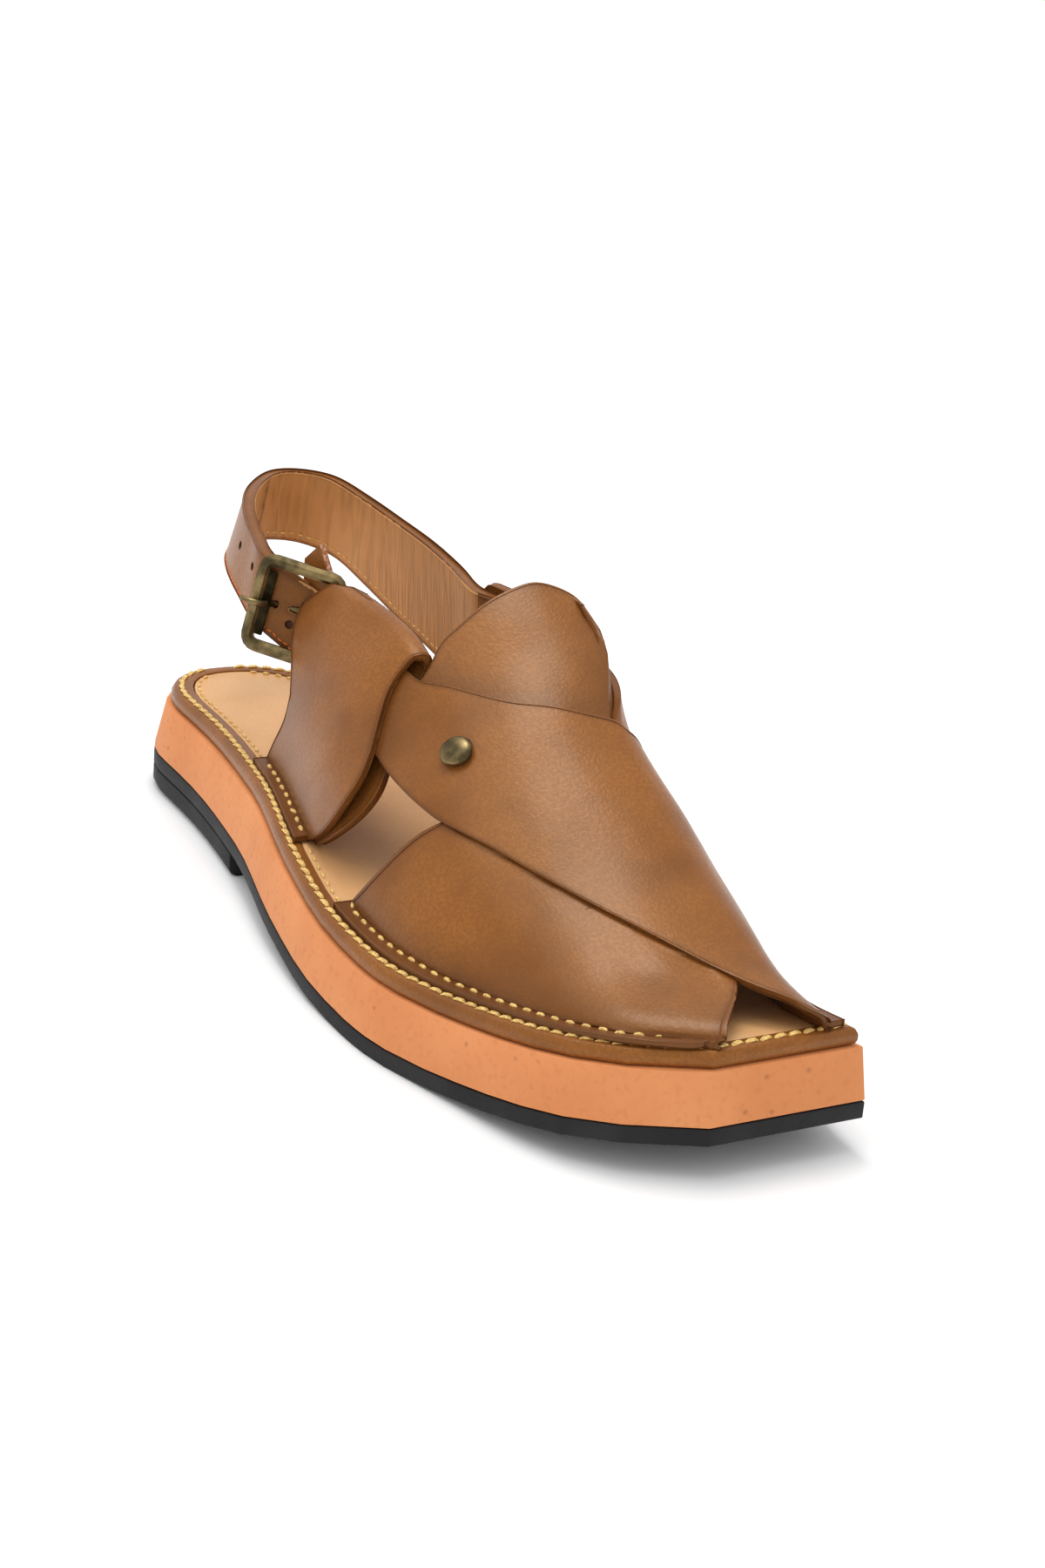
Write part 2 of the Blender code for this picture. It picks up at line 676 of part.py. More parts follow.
def make_stud(brass):
    """Plain domed stud on the over strap."""
    station, arch = 0.596 * LENGTH, 0.292
    seat = LEATHER - OVERLAP_SINK + LEATHER
    centre = on_form(station, arch, seat)
    normal = on_form(station, arch, seat + 0.001) - centre
    normal /= np.linalg.norm(normal)
    along = on_form(station + 0.001, arch, seat) - centre
    along -= normal * (along @ normal)
    along /= np.linalg.norm(along)
    side = np.cross(normal, along)
    sides, rings = 16, ((1.0, 0.0), (1.0, 0.35), (0.86, 0.68), (0.6, 0.88), (0.3, 0.98))
    points = []
    foot = 3 * GAP
    for share, height in rings:
        for k in range(sides):
            turn = 2 * math.pi * k / sides
            flat = (along * math.cos(turn) + side * math.sin(turn)) * share * STUD_DIAMETER / 2
            points.append(centre + flat + normal * (foot + height * STUD_HEIGHT))
    faces = [tuple(range(sides)), tuple(range((len(rings) - 1) * sides, len(rings) * sides))]
    for i in range(len(rings) - 1):
        for k in range(sides):
            n = (k + 1) % sides
            faces.append((i * sides + k, i * sides + n, (i + 1) * sides + n, (i + 1) * sides + k))
    add_object("stud", points, faces, brass)


def main():
    for old in list(bpy.data.objects):
        bpy.data.objects.remove(old, do_unlink=True)
    rubber = material("black rubber", (0.028, 0.028, 0.031), 0.55)
    crepe = material("terracotta crepe", (0.80, 0.28, 0.12), 0.75)
    brown = material("brown leather", (0.30, 0.13, 0.055), 0.38)
    tan = material("tan leather", (0.75, 0.44, 0.19), 0.5)
    brass = material("antique brass", (0.19, 0.14, 0.045), 0.35, 1.0)
    make_sole(rubber, crepe, brown, tan)
    make_upper(brown)
    make_instep_piece(brown)
    make_quarter("quarter_outer", -1, OUTER_QUARTER, OUTER_POCKET, brown)
    make_quarter("quarter_inner", 1, INNER_QUARTER, INNER_POCKET, brown)
    heel_strap = make_heel_strap(brown)
    make_buckle(brass, heel_strap)
    make_stud(brass)


main()
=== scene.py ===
"""Peshawari chappal: leather, rubber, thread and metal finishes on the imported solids.

Metres, +Z up, +X to the toe, -Y to the outer side of the foot.
"""

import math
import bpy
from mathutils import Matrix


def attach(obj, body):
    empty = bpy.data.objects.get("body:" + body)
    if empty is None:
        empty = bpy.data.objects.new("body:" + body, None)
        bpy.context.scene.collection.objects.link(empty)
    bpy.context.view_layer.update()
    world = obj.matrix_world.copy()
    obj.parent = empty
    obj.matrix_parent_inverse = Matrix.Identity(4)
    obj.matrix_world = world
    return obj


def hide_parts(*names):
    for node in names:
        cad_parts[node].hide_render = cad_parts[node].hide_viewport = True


bl_info = {
    "name": "Peshawari Chappal",
    "version": (1, 0, 0),
    "blender": (4, 5, 0),
    "location": "3D View > Sidebar > Chappal",
    "description": "Builds the visible pieces of a peshawari chappal around its solids",
    "category": "Object",
}

import bmesh
import bpy
import numpy as np
from bpy.props import FloatProperty, FloatVectorProperty, PointerProperty
from mathutils import Matrix, Vector
from mathutils.bvhtree import BVHTree
from mathutils.kdtree import KDTree

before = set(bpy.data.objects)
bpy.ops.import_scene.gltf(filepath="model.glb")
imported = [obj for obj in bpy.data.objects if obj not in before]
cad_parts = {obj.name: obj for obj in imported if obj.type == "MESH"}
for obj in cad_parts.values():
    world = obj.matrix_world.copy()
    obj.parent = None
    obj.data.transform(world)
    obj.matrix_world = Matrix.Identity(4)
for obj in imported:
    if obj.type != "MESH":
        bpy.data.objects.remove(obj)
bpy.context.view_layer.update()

# Sole: the same driving sizes as the solids have
LENGTH = 0.286
BALL_WIDTH = 0.104
HEEL_CENTRE = 0.040
SECTION_LEAN = 0.14
HEEL_ROUND_LENGTH = 0.026
HEEL_SQUARENESS = 2.4
HEEL_LIFT = 0.0073
TOE_SPRING = 0.0100
WAIST_START, TREAD_START, TREAD_END, SPRING_END = 0.318, 0.680, 0.733, 1.050
FOOTBED_HEEL = 0.0254
FOOTBED_FORE = 0.0242

# Plan of the midsole's top edge: share of LENGTH, then outer and inner reach as shares of BALL_WIDTH
PLAN = (
    (0.000, 0.216, 0.240),
    (0.160, 0.264, 0.292),
    (0.315, 0.356, 0.330),
    (0.480, 0.494, 0.368),
    (0.600, 0.562, 0.380),
    (0.690, 0.579, 0.380),
    (0.800, 0.534, 0.326),
    (0.885, 0.492, 0.244),
    (0.930, 0.445, 0.206),
    (0.965, 0.370, 0.192),
    (1.000, 0.224, 0.190),
)

# Stitch rows that follow the sole's edge: how far in they lie, each row's side and its first and
# last share of the length, how its points gather round the heel, and how thread lies on the leather
WELT_ROW_INSET = 0.0034
WELT_ROW_ENDS = (0.001, 0.999)
TOE_ROW_STEPS = 20
INNER_ROW_INSET = 0.0076
FOOT_ROWS = (
    (-1, 0.590, 0.978),
    (1, 0.590, 0.985),
    (-1, 0.292, 0.452),
    (1, 0.352, 0.494),
)
INNER_ROWS = (
    (-1, 0.004, 0.285),
    (1, 0.004, 0.345),
    (-1, 0.468, 0.578),
    (1, 0.508, 0.578),
)
ROW_STEPS = 160
HEEL_GATHER = 1.6
SETTLE_HEIGHT = 0.0035
THREAD_LIFT = 0.0003

# Search for the top of a strap's turned-out foot: stations along it, steps inwards from its edge,
# its lowest and highest place over the footbed, and how many steps a row keeps from the wall
FOOT_STATIONS = 60
FOOT_EDGE_INSET = 0.0048
FOOT_STEPS = 22
FOOT_STEP = 0.00025
FOOT_SEARCH = 0.0030
FOOT_SKIP = 0.0001
FOOT_TOP = (0.0008, 0.0027)
FOOT_ROW_STEPS = 4

# Stitches: a pair of strands is squeezed, spaced and slanted; the ends dip; each stitch is turned a little
STRAND_SEGMENTS = 8
STRAND_RINGS = 6
STRAND_LENGTH = 1.02
PAIR_SQUEEZE = 1.45
PAIR_SPACING = 0.46
PAIR_SLANT = math.radians(11)
END_DIP = 0.55
WOBBLE = math.radians(5)
WOBBLE_STEP = 2.4

# Smaller stitches: length, thickness and pitch as shares of the welt's, then those of the heel strap
FOOT_STITCH = (0.80, 1.15, 1.12)
INSOLE_STITCH = (0.66, 0.85, 0.95)
SMALL_STITCH = (0.0020, 0.0006)
LINING_PITCH = 0.0028
STRAP_PITCH = 0.0021

# Edges: weld distance, sharp angles in degrees, rounding radii, angles that are shaded smooth,
# how a smoothed piece is fitted to its corners, and how far an edge's darkening reaches
WELD = 0.00001
LEATHER_SHARP = 38.0
SOLE_SHARP = 22.0
INSOLE_SHARP = 40.0
SOLE_ROUNDING = 0.0004
CREPE_ROUNDING = 0.0006
WELT_ROUNDING = 0.0003
FINE_ROUNDING = 0.0003
SMOOTH_FLAT = math.radians(30)
SMOOTH_STRAP = math.radians(50)
QUAD_SKEW = math.radians(60)
MARK_STEP = 0.0006
FIT_ROUNDS = 4
EDGE_REACH = 0.0018
STRAP_EDGE_REACH = 0.0026

# Darker leather over a strap's foot, by its height; painted shade near a neighbour
FOOT_DARKENING = 0.75
FOOT_DARK_HEIGHTS = (0.0022, 0.0050)
PAINTED_SHADE_REACH = 0.014

# Roughness of the polished leather
WELT_POLISH = 0.34
STRAP_POLISH = 0.36

# Soft creases: both ends, half width and depth (negative swells)
CREASES = (
    ((0.0509, -0.0299, 0.0393), (0.0922, -0.0356, 0.0592), 0.0035, 0.0005),
    ((0.0745, -0.0375, 0.0381), (0.1017, -0.0360, 0.0593), 0.0030, 0.0005),
    ((0.0634, -0.0280, 0.0652), (0.0878, -0.0216, 0.0803), 0.0060, -0.0006),
    ((0.1520, -0.0439, 0.0411), (0.1855, -0.0433, 0.0334), 0.0050, 0.0005),
    ((0.1668, -0.0304, 0.0495), (0.2049, -0.0374, 0.0360), 0.0070, -0.0006),
    ((0.2007, -0.0191, 0.0446), (0.2253, -0.0301, 0.0365), 0.0050, 0.0005),
    ((0.0974, -0.0231, 0.0738), (0.1368, -0.0274, 0.0628), 0.0060, 0.0005),
    ((0.1598, 0.0033, 0.0675), (0.1934, 0.0077, 0.0531), 0.0080, -0.0005),
    ((0.1754, 0.0215, 0.0555), (0.2136, 0.0126, 0.0435), 0.0060, 0.0005),
)

# Heel strap: middle and rough radius of its loop, how squarely a face of the lining looks inwards,
# and how close the lining's wrinkles are, per metre
STRAP_CENTRE = (0.030, 0.004)
STRAP_LOOP = 0.05
LINING_FACING = 0.30
WRINKLES_ALONG = 360.0
WRINKLES_UP = 40.0

# Punched holes: size, how deep a face lies to count as their wall, and their places
HOLE_SIDES = 24
HOLE_RADIUS = 0.0013
HOLE_DEPTH = 0.0024
HOLE_REACH = 0.0018
HOLE_WALL = 0.00025
HOLES = (
    (0.0051, -0.0189, 0.0881),
    (0.0196, -0.0232, 0.0867),
    (0.0344, -0.0191, 0.0732),
)

# The strap's end that stands behind the buckle, slanted at its top, with its raw cut face in front
LOOSE_END_PLACE = (0.0341, -0.0115, 0.0860)
LOOSE_END_UP = (-0.500, -0.077, 0.863)
LOOSE_END_FRONT = (0.817, 0.289, 0.499)
LOOSE_END_SIZE = (0.0142, 0.0024, 0.0168)
LOOSE_END_SLANT = 0.0070
LOOSE_END_DROP = 0.0021
RAW_FACING = 0.9
END_SHARP = math.radians(40)

# Rows along the heel strap: heights over its lower edge, degrees round the loop, and the search for it
LINING_ROW_HEIGHT = 0.0022
LINING_ROW_DEGREES = range(28, 205, 3)
STRAP_ROW_HEIGHT = 0.0010
STRAP_ROW_DEGREES = range(42, 306, 3)
STRAP_BOTTOM = 0.054
STRAP_STEP = 0.0005
STRAP_STEPS = 100
STRAP_OUTSIDE = 0.12
STRAP_NEAREST = 0.01
STRAP_JUMP = 0.0070

# Buckle: its corners and bars, the side it shows, and the dark plate of patina and painted shade over the
# hollow beside the tongue's bar
BUCKLE_CORNER = 0.0030
BAR_HALF = 0.0015
BAR_DEPTH = 1.15
BUCKLE_FACING = (-0.68, -0.72, 0.0)
HOLLOW_SIZE = (0.0190, 0.0036, 0.0010)
HOLLOW_INSET = 0.0022
HOLLOW_LIFT = 0.0002
HOLLOW_SHADE_BRIGHTNESS = 0.12

# Stage: the floor, and each lamp's kind, place and angle or size
FLOOR_SIZE = 60.0
LIT_POINT = (0.09, 0.0, 0.04)
KEY_PLACE = (-0.06, -0.16, 0.90)
KEY_ANGLE = math.radians(50)
SOFTBOX_PLACE = (-0.05, 0.06, 0.85)
SOFTBOX_SIZE = 0.28

# Camera: where the photograph was taken from
CAMERA_AZIMUTH = 53.09
CAMERA_ELEVATION = 22.15
CAMERA_ROLL = 4.82
CAMERA_DISTANCE = 0.895
CAMERA_TARGET = (0.05698, 0.05227, 0.020)
FOCAL_PIXELS = 3409.45
PHOTO_HEIGHT = 1800
SENSOR = 36.0
CLIP_START = 0.01


class LeatherSettings(bpy.types.PropertyGroup):
    """Colours and edges of the leather."""
    brown: FloatVectorProperty(
        name="Brown", description="Waxed leather of the straps", subtype="COLOR",
        default=(0.290, 0.102, 0.020))
    # dark brown also paints the shade beside neighbouring pieces
    dark_brown: FloatVectorProperty(
        name="Dark brown", description="Leather in its darker patches", subtype="COLOR",
        default=(0.165, 0.054, 0.012))
    # edge brown also paints the shade on the punched holes' walls
    edge_brown: FloatVectorProperty(
        name="Edge brown", description="Burnished cut edges", subtype="COLOR",
        default=(0.095, 0.030, 0.009))
    tan: FloatVectorProperty(
        name="Tan", description="Natural leather of the insole", subtype="COLOR",
        default=(0.78, 0.44, 0.19))
    lining: FloatVectorProperty(
        name="Lining", description="Soft lining of the heel strap", subtype="COLOR",
        default=(0.58, 0.27, 0.080))
    edge_rounding: FloatProperty(
        name="Edge rounding", description="Radius of the leather's cut edges", unit="LENGTH",
        default=0.00055)


class SoleSettings(bpy.types.PropertyGroup):
    """Colours of the sole's layers."""
    crepe: FloatVectorProperty(
        name="Crepe", description="Terracotta midsole", subtype="COLOR", default=(0.70, 0.245, 0.076))
    rubber: FloatVectorProperty(
        name="Rubber", description="Black outsole and heel", subtype="COLOR", default=(0.012, 0.012, 0.013))


class ThreadSettings(bpy.types.PropertyGroup):
    """Sizes and colour of the stitches."""
    thread: FloatVectorProperty(
        name="Thread", description="Waxed golden thread", subtype="COLOR", default=(0.95, 0.66, 0.22))
    bright_thread: FloatVectorProperty(
        name="Bright thread", description="Orange thread under the heel strap", subtype="COLOR",
        default=(0.90, 0.20, 0.02))
    pitch: FloatProperty(
        name="Pitch", description="Distance from stitch to stitch", unit="LENGTH", default=0.0042)
    length: FloatProperty(
        name="Length", description="Length of one stitch", unit="LENGTH", default=0.0041)
    thickness: FloatProperty(
        name="Thickness", description="Thickness of the thread", unit="LENGTH", default=0.0011)


class MetalSettings(bpy.types.PropertyGroup):
    """Colours of the buckle and stud."""
    brass: FloatVectorProperty(
        name="Brass", description="Aged brass where it is worn bright", subtype="COLOR",
        default=(0.31, 0.225, 0.10))
    patina: FloatVectorProperty(
        name="Patina", description="Aged brass in its hollows", subtype="COLOR",
        default=(0.075, 0.058, 0.028))
    bar: FloatProperty(name="Bar width", description="Breadth of the bars over the solid's", default=1.30)


class StageSettings(bpy.types.PropertyGroup):
    """Floor and light."""
    floor: FloatVectorProperty(
        name="Floor", description="Studio floor", subtype="COLOR", default=(0.985, 0.985, 0.985))
    key: FloatProperty(name="Key light", description="Strength of the soft sun", default=0.80)
    fill: FloatProperty(name="Fill light", description="Strength of the room's light", default=0.78)
    softbox: FloatProperty(
        name="Softbox", description="Power of the lamp that makes the highlights", default=2.0)


# Materials

class Value:
    """A material's socket; arithmetic on it adds Math nodes."""

    def __init__(self, finish, socket):
        self.finish = finish
        self.socket = socket

    def __add__(self, other):
        return self.finish.maths("ADD", self, other)

    def __radd__(self, other):
        return self.finish.maths("ADD", other, self)

    def __sub__(self, other):
        return self.finish.maths("SUBTRACT", self, other)

    def __rsub__(self, other):
        return self.finish.maths("SUBTRACT", other, self)

    def __mul__(self, other):
        return self.finish.maths("MULTIPLY", self, other)

    def __rmul__(self, other):
        return self.finish.maths("MULTIPLY", other, self)


class Finish:
    """One procedural material."""

    def __init__(self, name):
        self.material = bpy.data.materials.new(name)
        self.material.use_nodes = True
        self.tree = self.material.node_tree
        self.tree.nodes.clear()

    def node(self, kind, settings=None, inputs=None, output=0):
        """Add a node: its settings first, then the values or links of its sockets."""
        made = self.tree.nodes.new(kind)
        for key, value in (settings or {}).items():
            setattr(made, key, value)
        for key, value in (inputs or {}).items():
            if isinstance(value, Value):
                self.tree.links.new(value.socket, made.inputs[key])
            else:
                made.inputs[key].default_value = value
        return Value(self, made.outputs[output]) if made.outputs else None

    def maths(self, operation, a, b):
        return self.node("ShaderNodeMath", {"operation": operation}, {0: a, 1: b})

    def where(self):
        return self.node("ShaderNodeTexCoord", output="Object")

    def attribute(self, name):
        return self.node("ShaderNodeAttribute", {"attribute_name": name}, output="Fac")

    def noise(self, where, scale, detail, distortion=0.0):
        return self.node("ShaderNodeTexNoise", {}, {
            "Vector": where, "Scale": scale, "Detail": detail, "Distortion": distortion})

    def cells(self, where, scale):
        return self.node("ShaderNodeTexVoronoi", {"feature": "F1"}, {"Vector": where, "Scale": scale})

    def ramp(self, value, low, high):
        return self.node("ShaderNodeMapRange", {"interpolation_type": "SMOOTHSTEP"}, {
            "Value": value, "From Min": low, "From Max": high})

    def mix(self, mask, a, b):
        """Mix two colours; 6 and 7 are the node's colour sockets and 2 its colour output."""
        a, b = (c if isinstance(c, Value) else (*c, 1.0) for c in (a, b))
        return self.node("ShaderNodeMix", {"data_type": "RGBA"}, {0: mask, 6: a, 7: b}, output=2)

    def bump(self, height, distance, strength, normal=None):
        inputs = {"Height": height, "Distance": distance, "Strength": strength}
        if normal is not None:
            inputs["Normal"] = normal
        return self.node("ShaderNodeBump", {}, inputs)

    def done(self, **sockets):
        """Link the sockets to the shader and close the material."""
        inputs = {}
        for key, value in sockets.items():
            inputs[key.replace("_", " ")] = (*value, 1.0) if isinstance(value, tuple) else value
        shader = self.node("ShaderNodeBsdfPrincipled", {}, inputs, "BSDF")
        self.node("ShaderNodeOutputMaterial", {}, {"Surface": shader})
        return self.material


def brown_leather(name, leather, polish):
    """Smooth waxed hide: clouded colour, fine pores, painted shade beside its neighbours, darker at its
    edges.
    """
    f = Finish(name)
    where = f.where()
    cloud = f.noise(where, scale=42.0, detail=3.0)
    speckle = f.noise(where, scale=1050.0, detail=3.0)
    pores = f.cells(where, scale=1150.0)
    edge = f.attribute("edge")
    light = tuple(min(1.0, 1.22 * c) for c in leather.brown)
    colour = f.mix(f.ramp(cloud, 0.30, 0.62) * 0.7 + 0.3, tuple(leather.dark_brown), tuple(leather.brown))
    colour = f.mix(f.ramp(cloud, 0.55, 0.80) * 0.4, colour, light)
    colour = f.mix(f.ramp(speckle, 0.40, 0.62) * 0.45, colour, tuple(leather.dark_brown))
    colour = f.mix(f.ramp(speckle, 0.56, 0.72) * 0.30, colour, light)
    # painted shade: darker where the piece lies close to a neighbouring solid
    colour = f.mix(f.attribute("shade") * 0.55, colour, tuple(0.75 * c for c in leather.dark_brown))
    colour = f.mix(f.ramp(edge, 0.10, 0.95) * 0.42, colour, tuple(leather.edge_brown))
    normal = f.bump(pores, distance=0.00007, strength=0.55)
    normal = f.bump(speckle, distance=0.00013, strength=0.55, normal=normal)
    normal = f.bump(cloud, distance=0.0012, strength=0.30, normal=normal)
    rough = polish + 0.16 * (speckle - 0.5) + 0.10 * (cloud - 0.5)
    return f.done(Base_Color=colour, Roughness=rough, Normal=normal, Specular_IOR_Level=0.36,
                  Specular_Tint=(1.0, 0.68, 0.38), Coat_Weight=0.12, Coat_Roughness=0.20)


def tan_leather(name, leather):
    """Undyed footbed leather with soft darker clouds."""
    f = Finish(name)
    where = f.where()
    cloud = f.noise(where, scale=30.0, detail=4.0)
    speckle = f.noise(where, scale=900.0, detail=2.0)
    deep = tuple(c * k for c, k in zip(leather.tan, (0.80, 0.66, 0.50)))
    colour = f.mix(f.ramp(cloud, 0.35, 0.70) * 0.55, tuple(leather.tan), deep)
    colour = f.mix(f.ramp(speckle, 0.50, 0.75) * 0.25, colour, deep)
    normal = f.bump(speckle, distance=0.00010, strength=0.5)
    normal = f.bump(cloud, distance=0.0010, strength=0.25, normal=normal)
    rough = 0.42 + 0.2 * (speckle - 0.5)
    return f.done(Base_Color=colour, Roughness=rough, Normal=normal, Coat_Weight=0.10, Coat_Roughness=0.35)


def soft_lining(name, leather):
    """Padded lining with upright wrinkles, darker in their troughs as painted shade; the attribute runs
    along the strap, in metres.
    """
    f = Finish(name)
    where = f.where()
    along = f.attribute("along")
    height = f.node("ShaderNodeSeparateXYZ", {}, {0: where}, output=2)
    spread = f.node("ShaderNodeCombineXYZ", {}, {0: along * WRINKLES_ALONG, 1: height * WRINKLES_UP, 2: 0.0})
    wrinkle = f.noise(spread, scale=1.0, detail=1.0, distortion=1.0)
    nap = f.noise(where, scale=1400.0, detail=2.0)
    cloud = f.noise(where, scale=60.0, detail=2.0)
    # painted shade in the wrinkles' troughs: the deep colour, mixed in where the wrinkle pattern is low
    deep = tuple(0.80 * c for c in leather.lining)
    pale = tuple(min(1.0, 1.25 * c) for c in leather.lining)
    colour = f.mix(f.ramp(wrinkle, 0.30, 0.62), deep, tuple(leather.lining))
    colour = f.mix(f.ramp(cloud, 0.45, 0.75) * 0.4, colour, pale)
    normal = f.bump(wrinkle, distance=0.0010, strength=0.8)
    normal = f.bump(nap, distance=0.00012, strength=0.4, normal=normal)
    return f.done(Base_Color=colour, Roughness=0.62 + 0.12 * (nap - 0.5), Normal=normal)


def raw_leather(name, leather):
    """Pale pinkish cut end."""
    f = Finish(name)
    fibres = f.noise(f.where(), scale=900.0, detail=3.0)
    pink = (0.62, 0.33, 0.24)
    colour = f.mix(f.ramp(fibres, 0.40, 0.65), tuple(leather.brown), pink)
    return f.done(Base_Color=colour, Roughness=0.9, Normal=f.bump(fibres, distance=0.0003, strength=0.8))


def crepe_rubber(name, sole):
    """Matt terracotta crepe with fine dark pores and a slightly uneven skin."""
    f = Finish(name)
    where = f.where()
    cloud = f.noise(where, scale=28.0, detail=3.0)
    fine = f.noise(where, scale=520.0, detail=3.0)
    pore = f.cells(where, scale=260.0)
    pits = 1.0 - f.ramp(pore, 0.04, 0.26)
    rare = f.ramp(f.noise(where, scale=120.0, detail=1.0), 0.52, 0.70)
    pits = pits * rare
    pale = tuple(min(1.0, k * c) for c, k in zip(sole.crepe, (1.12, 1.22, 1.35)))
    deep = tuple(k * c for c, k in zip(sole.crepe, (0.82, 0.70, 0.60)))
    colour = f.mix(f.ramp(cloud, 0.35, 0.70), tuple(sole.crepe), pale)
    colour = f.mix(f.ramp(fine, 0.50, 0.75) * 0.30, colour, deep)
    colour = f.mix(pits * 0.45, colour, tuple(0.35 * c for c in sole.crepe))
    normal = f.bump(pits, distance=0.0005, strength=0.5)
    normal = f.bump(fine, distance=0.00018, strength=0.5, normal=normal)
    normal = f.bump(cloud, distance=0.0016, strength=0.25, normal=normal)
    return f.done(Base_Color=colour, Roughness=0.68 + 0.14 * (fine - 0.5), Normal=normal)


def black_rubber(name, sole):
    """Matt black rubber with paler scuffed patches."""
    f = Finish(name)
    where = f.where()
    fine = f.noise(where, scale=700.0, detail=3.0)
    cloud = f.noise(where, scale=45.0, detail=2.0)
    grey = tuple(2.6 * c for c in sole.rubber)
    colour = f.mix(f.ramp(cloud, 0.40, 0.75) * 0.6, tuple(sole.rubber), grey)
    normal = f.bump(fine, distance=0.00015, strength=0.6)
    rough = 0.58 + 0.18 * (fine - 0.5)
    return f.done(Base_Color=colour, Roughness=rough, Normal=normal, Specular_IOR_Level=0.22)


def aged_brass(name, metal, bright=1.0):
    """Brass with dark patina; a lower brightness leaves more of the patina and darkens it all as painted
    shade.
    """
    f = Finish(name)
    where = f.where()
    patches = f.noise(where, scale=190.0, detail=5.0)
    scratches = f.noise(where, scale=1500.0, detail=2.0)
    worn = f.ramp(patches, 0.30, 0.75)
    colour = f.mix(worn * bright, tuple(bright * c for c in metal.patina), tuple(metal.brass))
    normal = f.bump(scratches, distance=0.00006, strength=0.5)
    return f.done(Base_Color=colour, Metallic=1.0, Roughness=0.46 - 0.16 * worn, Normal=normal)


def waxed_thread(name, colour):
    """Waxed thread with fine darker strands."""
    f = Finish(name)
    where = f.where()
    strands = f.noise(where, scale=1600.0, detail=2.0)
    deep = tuple(c * k for c, k in zip(colour, (0.66, 0.55, 0.42)))
    shade = f.mix(f.ramp(strands, 0.38, 0.62), deep, tuple(colour))
    normal = f.bump(strands, distance=0.0002, strength=0.7)
    return f.done(Base_Color=shade, Roughness=0.50 + 0.2 * (strands - 0.5), Normal=normal)


# Shapes

def only(piece):
    """Leave one object selected and active."""
    bpy.ops.object.select_all(action="DESELECT")
    piece.select_set(True)
    bpy.context.view_layer.objects.active = piece


def apply_modifier(piece, kind, **settings):
    """Add a modifier with its settings and apply it."""
    change = piece.modifiers.new(kind, kind)
    for key, value in settings.items():
        setattr(change, key, value)
    only(piece)
    bpy.ops.object.modifier_apply(modifier=change.name)


def edge_closeness(piece, points, reach, foot):
    """Store how close each vertex is to the given points: 1 on them, 0 at the reach and beyond.

    A strap's foot, where it is sewn to the sole, counts as edge too.
    """
    tree = KDTree(len(points))
    for i, point in enumerate(points):
        tree.insert(point, i)
    tree.balance()
    values = [max(0.0, 1.0 - tree.find(v.co)[2] / reach) for v in piece.data.vertices]
    if foot:
        for i, v in enumerate(piece.data.vertices):
            height = v.co.z - footbed((v.co.x + HEEL_CENTRE) / LENGTH)
            values[i] = max(values[i], FOOT_DARKENING * (1 - smooth(height, *FOOT_DARK_HEIGHTS)))
    piece.data.attributes.new("edge", "FLOAT", "POINT").data.foreach_set("value", values)


def sharp_points(mesh, angle):
    """Points along the mesh's sharp edges."""
    shape = bmesh.new()
    shape.from_mesh(mesh)
    points = []
    for edge in shape.edges:
        if len(edge.link_faces) == 2 and edge.calc_face_angle() > angle:
            a, b = edge.verts[0].co, edge.verts[1].co
            count = max(1, int((b - a).length / MARK_STEP))
            points += [a.lerp(b, i / count) for i in range(count + 1)]
    shape.free()
    return points


def subdivided(piece, levels):
    """Smooth a piece without letting it shrink: its own corners stay where they are."""
    mesh = piece.data
    count = len(mesh.vertices)
    wanted = np.array([v.co for v in mesh.vertices])
    corners = wanted.copy()
    change = piece.modifiers.new("smooth", "SUBSURF")
    change.levels = 1
    for _ in range(FIT_ROUNDS):
        bpy.context.view_layer.update()
        seen = piece.evaluated_get(bpy.context.evaluated_depsgraph_get()).data
        got = np.array([v.co for v in seen.vertices])[:count]
        corners += wanted - got
        mesh.vertices.foreach_set("co", corners.ravel())
        mesh.update()
    change.levels = change.render_levels = levels
    only(piece)
    bpy.ops.object.modifier_apply(modifier=change.name)


def paint_neighbour_shade(piece, nodes):
    """Store how close each vertex is to neighbouring solids, where painted shade darkens the leather."""
    surfaces = [solid_tree(node) for node in nodes]
    values = []
    for v in piece.data.vertices:
        away = min(surface.find_nearest(v.co)[3] for surface in surfaces)
        values.append(1 - smooth(away, 0.0, PAINTED_SHADE_REACH))
    piece.data.attributes.new("shade", "FLOAT", "POINT").data.foreach_set("value", values)


def creased(piece, creases):
    """Press soft troughs and swells into a piece."""
    mesh = piece.data
    points = np.array([v.co for v in mesh.vertices])
    normals = np.array([v.normal for v in mesh.vertices])
    for start, end, width, depth in creases:
        a, b = np.array(start), np.array(end)
        share = np.clip((points - a) @ (b - a) / ((b - a) @ (b - a)), 0, 1)
        away = np.linalg.norm(points - a - share[:, None] * (b - a), axis=1)
        fade = np.exp(-(away / width) ** 2) * np.sin(np.pi * np.clip(share, 0.08, 0.92))
        points -= normals * (depth * fade)[:, None]
    mesh.vertices.foreach_set("co", points.ravel())
    mesh.update()


